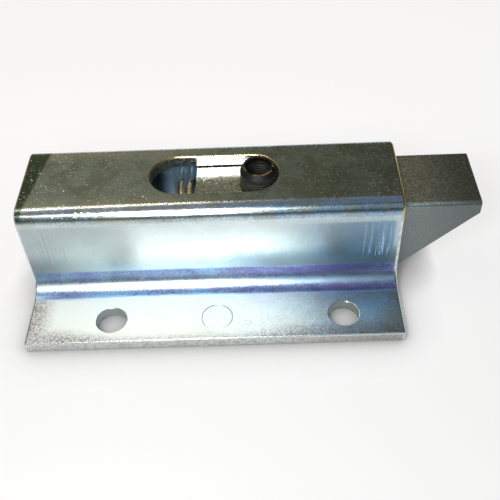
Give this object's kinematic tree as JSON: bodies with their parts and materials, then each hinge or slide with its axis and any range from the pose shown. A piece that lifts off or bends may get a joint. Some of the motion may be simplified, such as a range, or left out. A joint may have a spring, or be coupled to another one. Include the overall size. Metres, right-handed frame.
{
  "type": "flush end bolt",
  "caption": "Spring-loaded steel flush bolt: ramped bar sliding in a folded hat-section housing, pulled back by a pin in its top slot.",
  "frame": {"origin": "centre of the four-hole mounting pattern, on the surface that the housing is fixed to", "axes": "+X along the housing towards the bolt's nose, +Z away from the mounting surface towards the finger pin"},
  "size_m": [0.1455, 0.0804, 0.0402],
  "materials": {
    "zinc_sheet": "bright zinc plate with blue passivation, satin gloss",
    "zinc_bar": "zinc-plated drawn bar, fine grain",
    "black_pin": "black oxide spring steel",
    "spring_wire": "zinc-plated drawn wire",
    "weld_metal": "zinc-plated weld bead"
  },
  "bodies": {
    "housing_body": {"housing": "zinc_sheet", "hole_plug": "zinc_sheet", "spring": "spring_wire", "end_plate": "zinc_sheet", "spring_stud": "zinc_bar", "weld_front": "weld_metal", "weld_rear": "weld_metal", "weld_top": "weld_metal"},
    "bolt_body": {"bolt": "zinc_bar", "finger_pin": "black_pin"}
  },
  "joints": [
    {"name": "bolt_slide", "type": "slide", "parent": "housing_body", "child": "bolt_body", "axis": [-1, 0, 0], "range_m": [0, 0.0285], "stiffness_N_per_m": 6400, "springref_m": -0.004, "deforming": ["spring"]}
  ]
}
